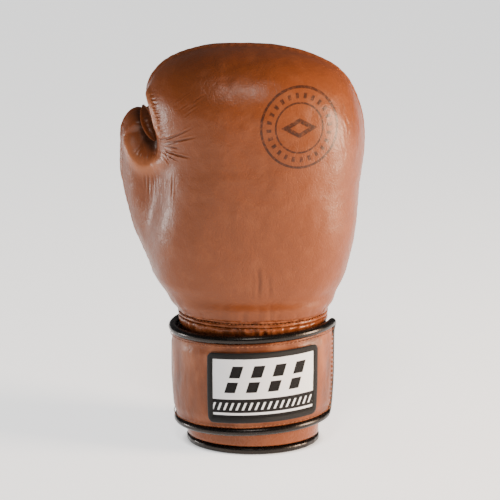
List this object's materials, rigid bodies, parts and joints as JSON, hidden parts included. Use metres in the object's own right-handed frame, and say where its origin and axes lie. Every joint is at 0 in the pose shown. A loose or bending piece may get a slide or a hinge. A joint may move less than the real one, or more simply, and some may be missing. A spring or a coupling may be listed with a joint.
{
  "type": "boxing glove",
  "caption": "Right-hand leather boxing glove with a padded mitt, an attached thumb and a wide hook-and-loop wrist strap, standing on its cuff with the fingers up.",
  "frame": {"origin": "on the ground under the middle of the glove's box, in the plane of the hem it stands on", "axes": "+Z from the hem to the fingertips, -Y towards the back of the hand, +Y towards the palm, -X towards the thumb, +X towards the little finger"},
  "size_m": [0.1778, 0.1266, 0.3],
  "materials": {
    "leather": "satin tan-brown cowhide",
    "black_leather": "satin black binding leather",
    "foam": "soft moulded latex foam",
    "firm_foam": "firm closed-cell foam",
    "lining": "woven nylon lining",
    "elastic": "ribbed elastic",
    "hook_tape": "nylon hook tape",
    "loop_tape": "nylon loop tape",
    "label_white": "woven white ground",
    "label_black": "merrowed black thread",
    "eyelet": "blackened brass"
  },
  "bodies": {
    "glove": {"back_panel": "leather", "finger_panel": "leather", "palm_panel": "leather", "cuff_leather": "leather", "neck_welt_upper": "leather", "neck_welt_lower": "leather", "strap_root_leather": "leather", "hem_binding": "black_leather", "slit_binding_thumb_side": "black_leather", "slit_binding_little_side": "black_leather", "strap_root_piping_top": "black_leather", "strap_root_piping_bottom": "black_leather", "knuckle_foam_outer": "foam", "finger_foam": "foam", "palm_foam": "foam", "cuff_foam": "foam", "knuckle_foam_inner": "firm_foam", "grip_bar": "firm_foam", "strap_root_core": "firm_foam", "hand_lining": "lining", "cuff_lining": "lining", "strap_root_lining": "lining", "slit_gusset": "elastic", "loop_tape": "loop_tape", "vent_eyelet_1": "eyelet", "vent_eyelet_2": "eyelet", "vent_eyelet_3": "eyelet", "vent_eyelet_4": "eyelet", "vent_eyelet_5": "eyelet", "vent_eyelet_6": "eyelet"},
    "thumb": {"thumb_back_panel": "leather", "thumb_palm_panel": "leather", "thumb_foam": "foam", "thumb_lining": "lining", "thumb_lock": "leather"},
    "strap_palm": {"strap_palm_leather": "leather", "strap_palm_core": "firm_foam", "strap_palm_lining": "lining", "strap_palm_piping_top": "black_leather", "strap_palm_piping_bottom": "black_leather"},
    "strap_back": {"strap_back_leather": "leather", "strap_back_core": "firm_foam", "strap_back_lining": "lining", "strap_back_piping": "black_leather", "hook_tape": "hook_tape", "label_ground": "label_white", "label_border": "label_black"}
  },
  "joints": [
    {"name": "thumb_flex", "type": "hinge", "parent": "glove", "child": "thumb", "pos_m": [-0.0559, 0, 0.118], "axis": [0, -1, 0], "range_deg": [0, 4], "stiffness_Nm_per_rad": 1.5},
    {"name": "strap_lift", "type": "hinge", "parent": "glove", "child": "strap_palm", "pos_m": [0.03682, 0.04102, 0.05575], "axis": [0, 0, -1], "range_deg": [0, 75]},
    {"name": "strap_peel", "type": "hinge", "parent": "strap_palm", "child": "strap_back", "pos_m": [-0.0543, -0.01161, 0.05575], "axis": [0, 0, -1], "range_deg": [0, 150]}
  ],
  "couplings": [
    {"joint": "strap_lift", "follows": "strap_peel", "ratio": 0.5}
  ]
}
